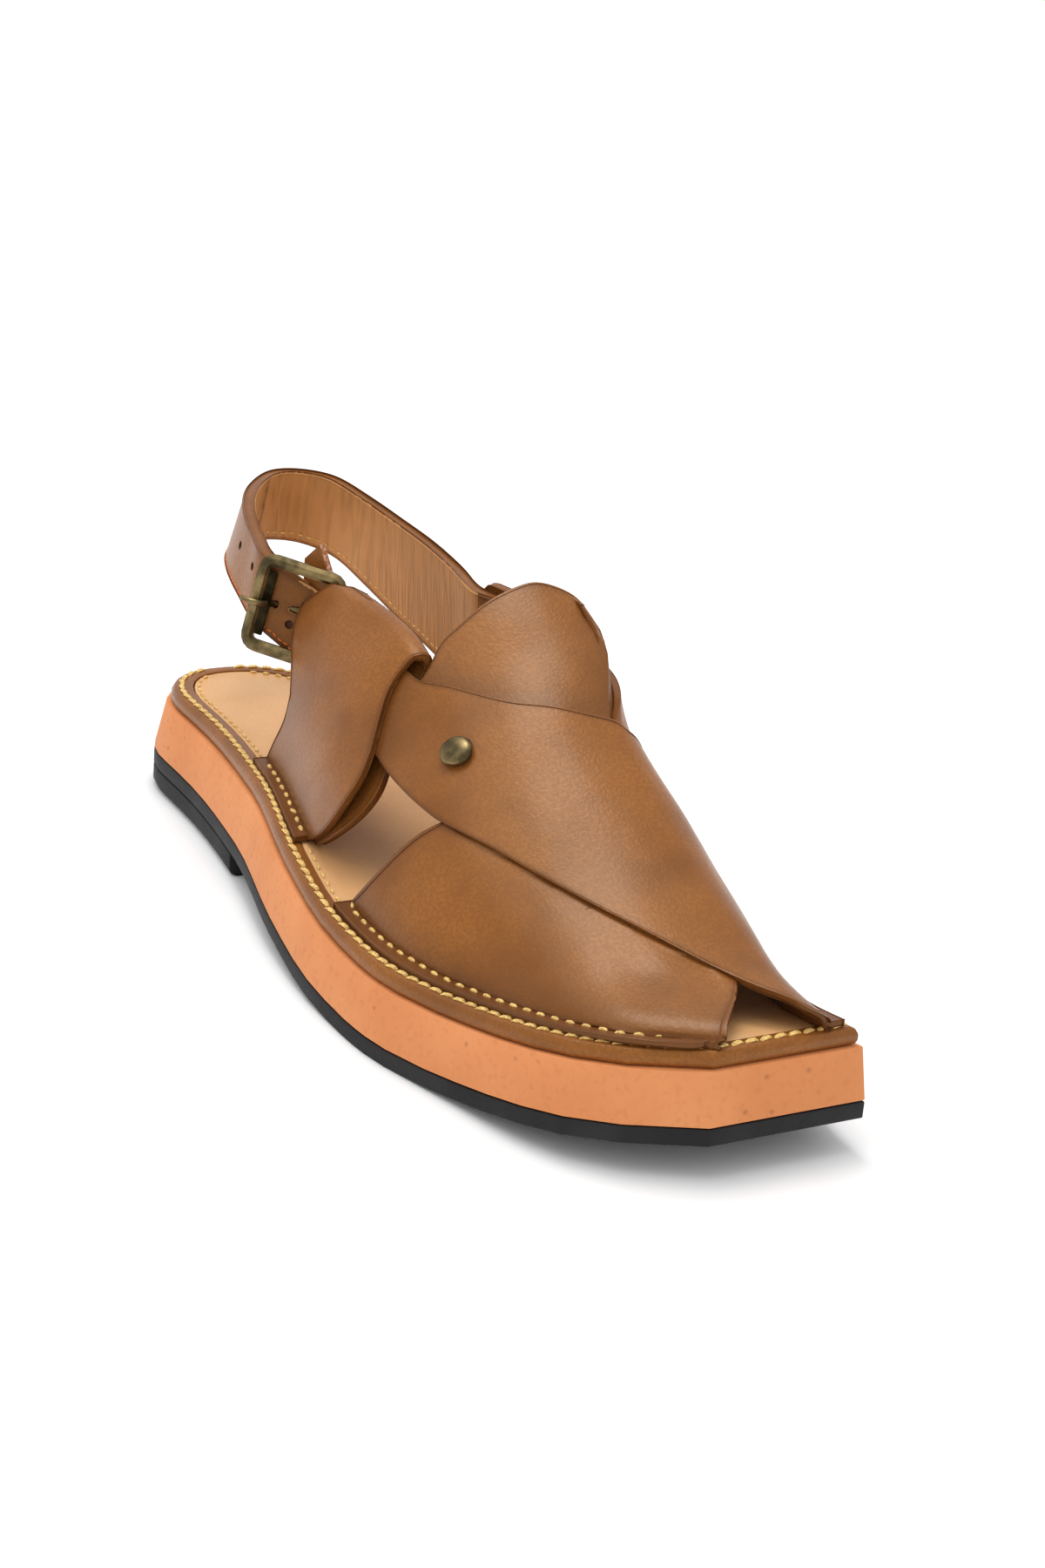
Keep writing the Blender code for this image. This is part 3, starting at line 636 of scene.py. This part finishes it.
def softened(node, name, material, rounding, levels=2, sharp=LEATHER_SHARP,
             dark_edge=EDGE_REACH, foot=False):
    """Copy of a solid with rounded edges and smooth faces, which stands for the solid."""
    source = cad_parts[node]
    piece = bpy.data.objects.new(name, source.data.copy())
    bpy.context.scene.collection.objects.link(piece)
    only(piece)
    bpy.ops.object.mode_set(mode="EDIT")
    bpy.ops.mesh.select_all(action="SELECT")
    bpy.ops.mesh.remove_doubles(threshold=WELD)
    bpy.ops.mesh.tris_convert_to_quads(face_threshold=SMOOTH_FLAT, shape_threshold=QUAD_SKEW)
    bpy.ops.object.mode_set(mode="OBJECT")
    for layer in ("custom_normal", "sharp_edge", "sharp_face"):
        if layer in piece.data.attributes:
            piece.data.attributes.remove(piece.data.attributes[layer])
    angle = math.radians(sharp)
    marks = sharp_points(piece.data, angle)
    if rounding > 0:
        apply_modifier(piece, "BEVEL", width=rounding, segments=2, limit_method="ANGLE", angle_limit=angle)
    if levels:
        subdivided(piece, levels)
    if dark_edge and marks:
        edge_closeness(piece, marks, dark_edge, foot)
    piece.data.materials.clear()
    piece.data.materials.append(material)
    piece.data.shade_smooth()
    if not levels:
        only(piece)
        bpy.ops.object.shade_smooth_by_angle(angle=SMOOTH_FLAT)
    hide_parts(node)
    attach(piece, "root")
    return piece


def smooth(value, start, end):
    """Rise from 0 to 1 between two values, level at both ends."""
    t = min(1.0, max(0.0, (value - start) / (end - start)))
    return t * t * (3 - 2 * t)


def curve(table, column, place):
    """Read a column of a table with the smooth curve that the solids use."""
    x = [row[0] for row in table]
    y = [row[column] for row in table]
    slope = [(b - a) / (d - c) for a, b, c, d in zip(y[:-1], y[1:], x[:-1], x[1:])]
    bend = [slope[0]]
    bend += [0.0 if a * b <= 0 else 2 * a * b / (a + b) for a, b in zip(slope[:-1], slope[1:])]
    bend.append(slope[-1])
    place = min(max(place, x[0]), x[-1])
    i = max(k for k in range(len(x) - 1) if x[k] <= place)
    step = x[i + 1] - x[i]
    t = (place - x[i]) / step
    start = y[i] * (1 + 2 * t) * (1 - t) ** 2 + bend[i] * step * t * (1 - t) ** 2
    return start + y[i + 1] * t * t * (3 - 2 * t) + bend[i + 1] * step * t * t * (t - 1)


def footbed(share):
    """Height of the welt's and the insole's top."""
    heel = HEEL_LIFT * (1 - smooth(share, WAIST_START, TREAD_START))
    taper = FOOTBED_HEEL + (FOOTBED_FORE - FOOTBED_HEEL) * smooth(share, WAIST_START, TREAD_START)
    return heel + taper + TOE_SPRING * smooth(share, TREAD_END, SPRING_END)


def sole_point(side, share, inset):
    """Point over the footbed, moved in from the midsole's top edge."""
    station = inset + share * (LENGTH - 2 * inset)
    reach = BALL_WIDTH * curve(PLAN, 1 if side < 0 else 2, share) - inset
    back = min(1.0, max(0.0, 1 - share * LENGTH / HEEL_ROUND_LENGTH))
    y = side * reach * (1 - back ** HEEL_SQUARENESS) ** (1 / HEEL_SQUARENESS)
    return Vector((station + SECTION_LEAN * y - HEEL_CENTRE, y, footbed(station / LENGTH)))


def edge_path(side, start, end, inset):
    """Points along one side of the sole, closer round the heel."""
    shares = [start + (end - start) * (i / ROW_STEPS) ** HEEL_GATHER for i in range(ROW_STEPS + 1)]
    return [sole_point(side, share, inset) for share in shares]


def spaced(path, pitch, ups):
    """Places, directions and upward directions along a path at an even pitch."""
    lengths = [0.0]
    for a, b in zip(path[:-1], path[1:]):
        lengths.append(lengths[-1] + (b - a).length)
    count = max(1, round(lengths[-1] / pitch))
    made = []
    k = 0
    for i in range(count):
        want = (i + 0.5) * lengths[-1] / count
        while lengths[k + 1] < want:
            k += 1
        a, b = path[k], path[k + 1]
        share = (want - lengths[k]) / max(1e-9, lengths[k + 1] - lengths[k])
        up = Vector((0, 0, 1)) if ups is None else ups[k].lerp(ups[k + 1], share)
        made.append((a.lerp(b, share), (b - a).normalized(), up))
    return made


def stitch_shape(length, thickness, strands):
    """One stitch: strands of thread laid slantwise, its ends dipping into the leather."""
    parts = []
    for i in range(strands):
        bpy.ops.mesh.primitive_uv_sphere_add(segments=STRAND_SEGMENTS, ring_count=STRAND_RINGS, radius=0.5)
        part = bpy.context.object
        part.scale = (thickness / (PAIR_SQUEEZE if strands > 1 else 1.0), thickness, length * STRAND_LENGTH)
        turn = PAIR_SLANT if strands > 1 else 0.0
        offset = (i - (strands - 1) / 2) * thickness * PAIR_SPACING
        part.rotation_euler = (0, math.radians(90), turn)
        part.location = (0, offset, 0)
        only(part)
        bpy.ops.object.transform_apply(location=True, rotation=True, scale=True)
        parts.append(part)
    only(parts[0])
    for part in parts[1:]:
        part.select_set(True)
    if len(parts) > 1:
        bpy.ops.object.join()
    stitch = bpy.context.object
    for vertex in stitch.data.vertices:
        vertex.co.z -= END_DIP * thickness * (2 * vertex.co.x / length) ** 4
    return stitch


def sew(name, shape, rows, material):
    """Copies of a stitch along rows of (path, upward directions or None, pitch), joined into one piece."""
    copies = []
    for path, ups, pitch in rows:
        for i, (place, along, lift) in enumerate(spaced(path, pitch, ups)):
            side = lift.cross(along).normalized()
            top = along.cross(side)
            wobble = Matrix.Rotation(WOBBLE * math.sin(i * WOBBLE_STEP), 3, "Z")
            turn = Matrix((along, side, top)).transposed() @ wobble
            copy = bpy.data.objects.new(name, shape.data.copy())
            copy.data.transform(Matrix.Translation(place) @ turn.to_4x4())
            bpy.context.scene.collection.objects.link(copy)
            copies.append(copy)
    bpy.ops.object.select_all(action="DESELECT")
    for copy in copies:
        copy.select_set(True)
    bpy.context.view_layer.objects.active = copies[0]
    bpy.ops.object.join()
    made = bpy.context.object
    made.name = name
    made.data.materials.clear()
    made.data.materials.append(material)
    made.data.shade_smooth()
    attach(made, "root")
    return made


def solid_tree(node):
    """Search tree over a solid's faces."""
    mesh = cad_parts[node].data
    return BVHTree.FromPolygons([v.co for v in mesh.vertices], [p.vertices for p in mesh.polygons])


def settled(path, surfaces):
    """Path laid on the highest of the surfaces, and lifted a little."""
    made = []
    for point in path:
        start = point + Vector((0, 0, SETTLE_HEIGHT))
        hits = [surface.ray_cast(start, Vector((0, 0, -1)), 2 * SETTLE_HEIGHT)[0] for surface in surfaces]
        heights = [hit.z for hit in hits if hit is not None]
        made.append(Vector((point.x, point.y, max(heights) + THREAD_LIFT)) if heights else point)
    return made


def foot_path(side, start, end, surfaces):
    """Path on a strap's turned-out foot, just outside the root of its wall."""
    path = []
    for step in range(FOOT_STATIONS + 1):
        share = start + (end - start) * step / FOOT_STATIONS
        tops = []
        for k in range(FOOT_STEPS):
            point = sole_point(side, share, FOOT_EDGE_INSET + FOOT_STEP * k)
            top = upward_face(point + Vector((0, 0, FOOT_SEARCH)), surfaces)
            if top is None or not FOOT_TOP[0] < top - point.z < FOOT_TOP[1]:
                if tops:
                    break
                continue
            tops.append(Vector((point.x, point.y, top)))
        if tops:
            path.append(tops[max(0, len(tops) - FOOT_ROW_STEPS)])
    return path


def upward_face(start, surfaces):
    """Height of the first upward face under a point, past up to three others."""
    heights = []
    for surface in surfaces:
        place = start
        for _ in range(4):
            hit, normal, _, _ = surface.ray_cast(place, Vector((0, 0, -1)), 2 * FOOT_SEARCH)
            if hit is None:
                break
            if normal.z > 0:
                heights.append(hit.z)
                break
            place = hit - Vector((0, 0, FOOT_SKIP))
    return max(heights) if heights else None


def strap_row(angles, height, inside):
    """Path and outward directions along the heel strap, at a height over its lower edge.

    Angles are degrees round the middle of the strap's loop.
    """
    surface = solid_tree("heel_strap")
    path, up = [], []
    for angle in angles:
        way = Vector((math.cos(math.radians(angle)), math.sin(math.radians(angle)), 0.0))
        middle = Vector((*STRAP_CENTRE, 0.0))
        hits = []
        for step in range(STRAP_STEPS):
            start = middle + Vector((0, 0, STRAP_BOTTOM + STRAP_STEP * step))
            if not inside:
                start += STRAP_OUTSIDE * way
            hit, normal, _, _ = surface.ray_cast(start, way if inside else -way)
            if hit is not None and (hit - middle).dot(way) > STRAP_NEAREST:
                hits.append((hit, normal))
        if not hits:
            continue
        lowest = hits[0][0].z
        hit, normal = min(hits, key=lambda pair: abs(pair[0].z - lowest - height))
        if path and (hit - path[-1]).length > STRAP_JUMP:
            continue
        path.append(hit)
        up.append(normal)
    return path, up


# Operators

class CHAPPAL_OT_sole(bpy.types.Operator):
    """Outsole, heel, midsole, welt and insole."""
    bl_idname = "chappal.sole"
    bl_label = "Sole"

    def execute(self, context):
        scene = context.scene
        rubber = black_rubber("black_rubber", scene.chappal_sole)
        crepe = crepe_rubber("terracotta_crepe", scene.chappal_sole)
        brown = brown_leather("welt_leather", scene.chappal_leather, WELT_POLISH)
        tan = tan_leather("insole_leather", scene.chappal_leather)
        for node, name, slot, material, rounding, sharp in (
            ("outsole", "outsole_sheet", "black_rubber", rubber, SOLE_ROUNDING, SOLE_SHARP),
            ("heel_block", "heel_lift", "black_rubber", rubber, SOLE_ROUNDING, SOLE_SHARP),
            ("midsole", "crepe_midsole", "terracotta_crepe", crepe, CREPE_ROUNDING, SOLE_SHARP),
            ("welt", "leather_welt", "brown_leather", brown, WELT_ROUNDING, SOLE_SHARP),
            ("insole", "insole_leather", "tan_leather", tan, CREPE_ROUNDING, INSOLE_SHARP),
        ):
            softened(node, name, material, rounding, levels=0, sharp=sharp, dark_edge=0)
        return {"FINISHED"}


class CHAPPAL_OT_straps(bpy.types.Operator):
    """Crossing straps, instep piece and side quarters."""
    bl_idname = "chappal.straps"
    bl_label = "Straps and quarters"

    def execute(self, context):
        leather = context.scene.chappal_leather
        brown = brown_leather("strap_leather", leather, STRAP_POLISH)
        for node, name, neighbours in (
            ("upper", "crossing_straps", ("quarter_outer", "quarter_inner", "welt")),
            ("instep_piece", "instep_leather", ("upper",)),
            ("quarter_outer", "outer_quarter", ("welt",)),
            ("quarter_inner", "inner_quarter", ("welt",)),
        ):
            piece = softened(node, name, brown, leather.edge_rounding, foot=True)
            # painted shade beside the neighbouring solids
            paint_neighbour_shade(piece, neighbours)
            creased(piece, CREASES)
        return {"FINISHED"}


class CHAPPAL_OT_heel_strap(bpy.types.Operator):
    """Heel strap with its lining, punched holes and loose end."""
    bl_idname = "chappal.heel_strap"
    bl_label = "Heel strap"

    def execute(self, context):
        leather = context.scene.chappal_leather
        brown = brown_leather("heel_strap_leather", leather, STRAP_POLISH)
        lining = soft_lining("heel_strap_lining", leather)
        raw = raw_leather("raw_leather", leather)
        # painted shade: the walls of the punched holes are coloured dark brown
        hole_shade = Finish("hole_wall_shade").done(Base_Color=tuple(leather.edge_brown), Roughness=0.8)
        strap = softened("heel_strap", "ankle_strap", brown, 2 * leather.edge_rounding,
                         dark_edge=STRAP_EDGE_REACH)
        surface = solid_tree("heel_strap")
        for place in HOLES:
            hit, normal, _, _ = surface.find_nearest(Vector(place))
            bpy.ops.mesh.primitive_cylinder_add(
                vertices=HOLE_SIDES, radius=HOLE_RADIUS, depth=HOLE_DEPTH, location=hit,
                rotation=normal.to_track_quat("Z", "Y").to_euler())
            punch = context.object
            apply_modifier(strap, "BOOLEAN", operation="DIFFERENCE", object=punch, solver="EXACT")
            bpy.data.objects.remove(punch, do_unlink=True)
        strap.data.materials.append(lining)
        strap.data.materials.append(hole_shade)
        centre = Vector((*STRAP_CENTRE, 0.0))
        for face in strap.data.polygons:
            inward = centre - face.center
            inward.z = 0
            _, normal, _, depth = surface.find_nearest(face.center)
            nearest = min((face.center - Vector(place)).length for place in HOLES)
            # the holes' walls take the dark painted shade
            if depth > HOLE_WALL and nearest < HOLE_REACH:
                face.material_index = 2
            elif normal.dot(inward.normalized()) > LINING_FACING:
                face.material_index = 1
        along = [STRAP_LOOP * math.atan2(v.co.y - centre.y, v.co.x - centre.x) for v in strap.data.vertices]
        strap.data.attributes.new("along", "FLOAT", "POINT").data.foreach_set("value", along)
        strap.data.shade_smooth()
        only(strap)
        bpy.ops.object.shade_smooth_by_angle(angle=SMOOTH_STRAP)
        self.loose_end(brown, raw)
        return {"FINISHED"}

    def loose_end(self, brown, raw):
        """The strap's end, which stands up behind the buckle."""
        bpy.ops.object.select_all(action="DESELECT")
        bpy.ops.mesh.primitive_cube_add(size=1.0)
        end = bpy.context.object
        end.name = "strap_end"
        end.scale = LOOSE_END_SIZE
        bpy.ops.object.transform_apply(location=False, rotation=False, scale=True)
        bpy.ops.object.mode_set(mode="EDIT")
        shape = bmesh.from_edit_mesh(end.data)
        for vertex in shape.verts:
            vertex.select = vertex.co.z > 0 and vertex.co.x < 0
        shape.select_flush(True)
        bmesh.update_edit_mesh(end.data)
        bpy.ops.transform.translate(value=(LOOSE_END_SLANT, 0, -LOOSE_END_DROP))
        bpy.ops.object.mode_set(mode="OBJECT")
        up = Vector(LOOSE_END_UP).normalized()
        side = up.cross(Vector(LOOSE_END_FRONT)).normalized()
        turn = Matrix((side.cross(up), side, up)).transposed().to_4x4()
        end.matrix_world = Matrix.Translation(LOOSE_END_PLACE) @ turn
        bpy.ops.object.transform_apply(location=True, rotation=True, scale=True)
        end.data.materials.append(brown)
        end.data.materials.append(raw)
        front = side.cross(up)
        for face in end.data.polygons:
            face.material_index = 1 if face.normal.dot(front) > RAW_FACING else 0
        apply_modifier(end, "BEVEL", width=FINE_ROUNDING, segments=2, limit_method="ANGLE",
                       angle_limit=END_SHARP)
        bpy.ops.object.shade_smooth_by_angle(angle=END_SHARP)
        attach(end, "root")


class CHAPPAL_OT_metal(bpy.types.Operator):
    """Buckle and stud."""
    bl_idname = "chappal.metal"
    bl_label = "Buckle and stud"

    def execute(self, context):
        metal = context.scene.chappal_metal
        brass = aged_brass("aged_brass", metal)
        bar = softened("buckle_frame", "buckle_bar", brass, 0.0, 0, dark_edge=0)
        self.broaden(bar, metal)
        softened("buckle_prong", "buckle_tongue", brass, 0.0, levels=1, dark_edge=0)
        softened("stud", "domed_stud", brass, 0.0, levels=1, dark_edge=0)
        return {"FINISHED"}

    def broaden(self, bar, metal):
        """Broaden the bars about their middle line, and fill the hollow beside the tongue's bar with a dark
        plate of patina and painted shade.
        """
        points = np.array([v.co for v in bar.data.vertices])
        middle = (points.max(axis=0) + points.min(axis=0)) / 2
        axes = np.linalg.svd(points - points.mean(axis=0))[2]
        local = (points - middle) @ axes.T
        half = np.abs(local[:, :2]).max(axis=0) - BAR_HALF - BUCKLE_CORNER
        core = np.clip(local[:, :2], -half, half)
        away = local[:, :2] - core
        line = core + BUCKLE_CORNER * away / np.linalg.norm(away, axis=1, keepdims=True)
        local[:, :2] = line + (local[:, :2] - line) * metal.bar
        local[:, 2] *= BAR_DEPTH
        bar.data.vertices.foreach_set("co", (middle + local @ axes).ravel())
        bar.data.update()
        out = np.sign(axes[2] @ BUCKLE_FACING)
        side = -np.sign(axes[1][0])
        across = side * (half[1] + BUCKLE_CORNER - HOLLOW_INSET)
        place = middle + axes[1] * across + axes[2] * out * HOLLOW_LIFT
        bpy.ops.mesh.primitive_cube_add(size=1.0)
        plate = bpy.context.object
        plate.name = "buckle_hollow_shade"
        turn = Matrix((axes[0], axes[1], axes[2])).transposed().to_4x4()
        plate.data.transform(Matrix.Translation(place) @ turn @ Matrix.Diagonal((*HOLLOW_SIZE, 1.0)))
        if turn.determinant() < 0:
            plate.data.flip_normals()
        apply_modifier(plate, "BEVEL", width=FINE_ROUNDING, segments=2)
        # painted shade: the plate's brass keeps only a small share of its brightness
        plate.data.materials.append(aged_brass("patina_and_shade_brass", metal, HOLLOW_SHADE_BRIGHTNESS))
        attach(plate, "root")


class CHAPPAL_OT_stitches(bpy.types.Operator):
    """Rows of stitches on the welt, the insole and the strap feet."""
    bl_idname = "chappal.stitches"
    bl_label = "Stitches"

    def execute(self, context):
        threads = context.scene.chappal_thread
        gold = waxed_thread("golden_thread", tuple(threads.thread))
        bright = waxed_thread("orange_thread", tuple(threads.bright_thread))
        thick = stitch_shape(threads.length, threads.thickness, 2)
        sole = [solid_tree(node) for node in ("welt", "insole")]
        feet = [solid_tree(node) for node in ("upper", "quarter_outer", "quarter_inner")]
        outer = edge_path(-1, *WELT_ROW_ENDS, WELT_ROW_INSET)
        inner = edge_path(1, *WELT_ROW_ENDS, WELT_ROW_INSET)
        front = [outer[-1].lerp(inner[-1], i / TOE_ROW_STEPS) for i in range(TOE_ROW_STEPS + 1)]
        rows = [(settled(row, sole), None, threads.pitch) for row in (outer, inner, front)]
        sew("welt_stitches", thick, rows, gold)
        length, thickness, pitch = FOOT_STITCH
        single = stitch_shape(length * threads.length, thickness * threads.thickness, 1)
        rows = [(foot_path(side, a, b, feet), None, pitch * threads.pitch) for side, a, b in FOOT_ROWS]
        sew("strap_foot_stitches", single, rows, gold)
        length, thickness, pitch = INSOLE_STITCH
        fine = stitch_shape(length * threads.length, thickness * threads.thickness, 1)
        rows = [edge_path(side, a, b, INNER_ROW_INSET) for side, a, b in INNER_ROWS]
        rows = [(settled(row, sole), None, pitch * threads.pitch) for row in rows]
        sew("insole_stitches", fine, rows, gold)
        small = stitch_shape(*SMALL_STITCH, 1)
        inside = strap_row(LINING_ROW_DEGREES, LINING_ROW_HEIGHT, True)
        sew("lining_stitches", small, [(*inside, LINING_PITCH)], gold)
        outside = strap_row(STRAP_ROW_DEGREES, STRAP_ROW_HEIGHT, False)
        sew("strap_stitches", small, [(*outside, STRAP_PITCH)], bright)
        for shape in (thick, single, fine, small):
            bpy.data.objects.remove(shape, do_unlink=True)
        return {"FINISHED"}


class CHAPPAL_OT_stage(bpy.types.Operator):
    """Floor, light and camera."""
    bl_idname = "chappal.stage"
    bl_label = "Stage"

    def execute(self, context):
        settings = context.scene.chappal_stage
        bpy.ops.mesh.primitive_plane_add(size=FLOOR_SIZE, location=(0, 0, 0))
        floor = context.object
        floor.name = "floor"
        floor.data.materials.append(Finish("floor").done(Base_Color=tuple(settings.floor), Roughness=0.9))
        world = bpy.data.worlds.new("studio")
        context.scene.world = world
        world.use_nodes = True
        background = world.node_tree.nodes["Background"]
        background.inputs[0].default_value = (1, 1, 1, 1)
        background.inputs[1].default_value = settings.fill
        for name, kind, place, size, power in (
            ("key", "SUN", KEY_PLACE, KEY_ANGLE, settings.key),
            ("softbox", "AREA", SOFTBOX_PLACE, SOFTBOX_SIZE, settings.softbox),
        ):
            light = bpy.data.lights.new(name, kind)
            light.energy = power
            if kind == "SUN":
                light.angle = size
            else:
                light.size = size
            lamp = bpy.data.objects.new(name, light)
            lamp.location = place
            lamp.rotation_euler = (Vector(LIT_POINT) - Vector(place)).to_track_quat("-Z", "Y").to_euler()
            context.scene.collection.objects.link(lamp)
        self.camera(context)
        context.scene.view_settings.view_transform = "Standard"
        return {"FINISHED"}

    def camera(self, context):
        """The camera, turned and placed as the photograph's."""
        angles = (CAMERA_AZIMUTH, CAMERA_ELEVATION, CAMERA_ROLL)
        azimuth, elevation, roll = (math.radians(angle) for angle in angles)
        back = Vector((math.sin(azimuth) * math.cos(elevation), -math.cos(azimuth) * math.cos(elevation),
                       math.sin(elevation)))
        right = Vector((math.cos(azimuth), math.sin(azimuth), 0.0))
        up = back.cross(right)
        x = math.cos(roll) * right + math.sin(roll) * up
        y = -math.sin(roll) * right + math.cos(roll) * up
        place = Vector(CAMERA_TARGET) + back * CAMERA_DISTANCE
        camera = bpy.data.cameras.new("camera")
        camera.sensor_width = SENSOR
        camera.lens = FOCAL_PIXELS / PHOTO_HEIGHT * SENSOR
        camera.clip_start = CLIP_START
        holder = bpy.data.objects.new("camera", camera)
        holder.matrix_world = Matrix.Translation(place) @ Matrix((x, y, back)).transposed().to_4x4()
        context.scene.collection.objects.link(holder)
        context.scene.camera = holder


class CHAPPAL_PT_panel(bpy.types.Panel):
    """Lists the settings and the operators."""
    bl_label = "Chappal"
    bl_space_type = "VIEW_3D"
    bl_region_type = "UI"
    bl_category = "Chappal"

    def draw(self, context):
        for group in SETTINGS:
            settings = getattr(context.scene, group)
            box = self.layout.box()
            for name in settings.bl_rna.properties.keys():
                if name not in ("rna_type", "name"):
                    box.prop(settings, name)
        for operator in OPERATORS:
            self.layout.operator(operator.bl_idname)


SETTINGS = {
    "chappal_leather": LeatherSettings,
    "chappal_sole": SoleSettings,
    "chappal_thread": ThreadSettings,
    "chappal_metal": MetalSettings,
    "chappal_stage": StageSettings,
}
OPERATORS = (
    CHAPPAL_OT_stage,
    CHAPPAL_OT_sole,
    CHAPPAL_OT_straps,
    CHAPPAL_OT_heel_strap,
    CHAPPAL_OT_metal,
    CHAPPAL_OT_stitches,
)
CLASSES = (*SETTINGS.values(), *OPERATORS, CHAPPAL_PT_panel)


def register():
    for item in CLASSES:
        bpy.utils.register_class(item)
    for name, group in SETTINGS.items():
        setattr(bpy.types.Scene, name, PointerProperty(type=group))


def unregister():
    for name in SETTINGS:
        delattr(bpy.types.Scene, name)
    for item in reversed(CLASSES):
        bpy.utils.unregister_class(item)


def main():
    register()
    bpy.ops.chappal.stage()
    bpy.ops.chappal.sole()
    bpy.ops.chappal.straps()
    bpy.ops.chappal.heel_strap()
    bpy.ops.chappal.metal()
    bpy.ops.chappal.stitches()


if __name__ == "__main__":
    main()
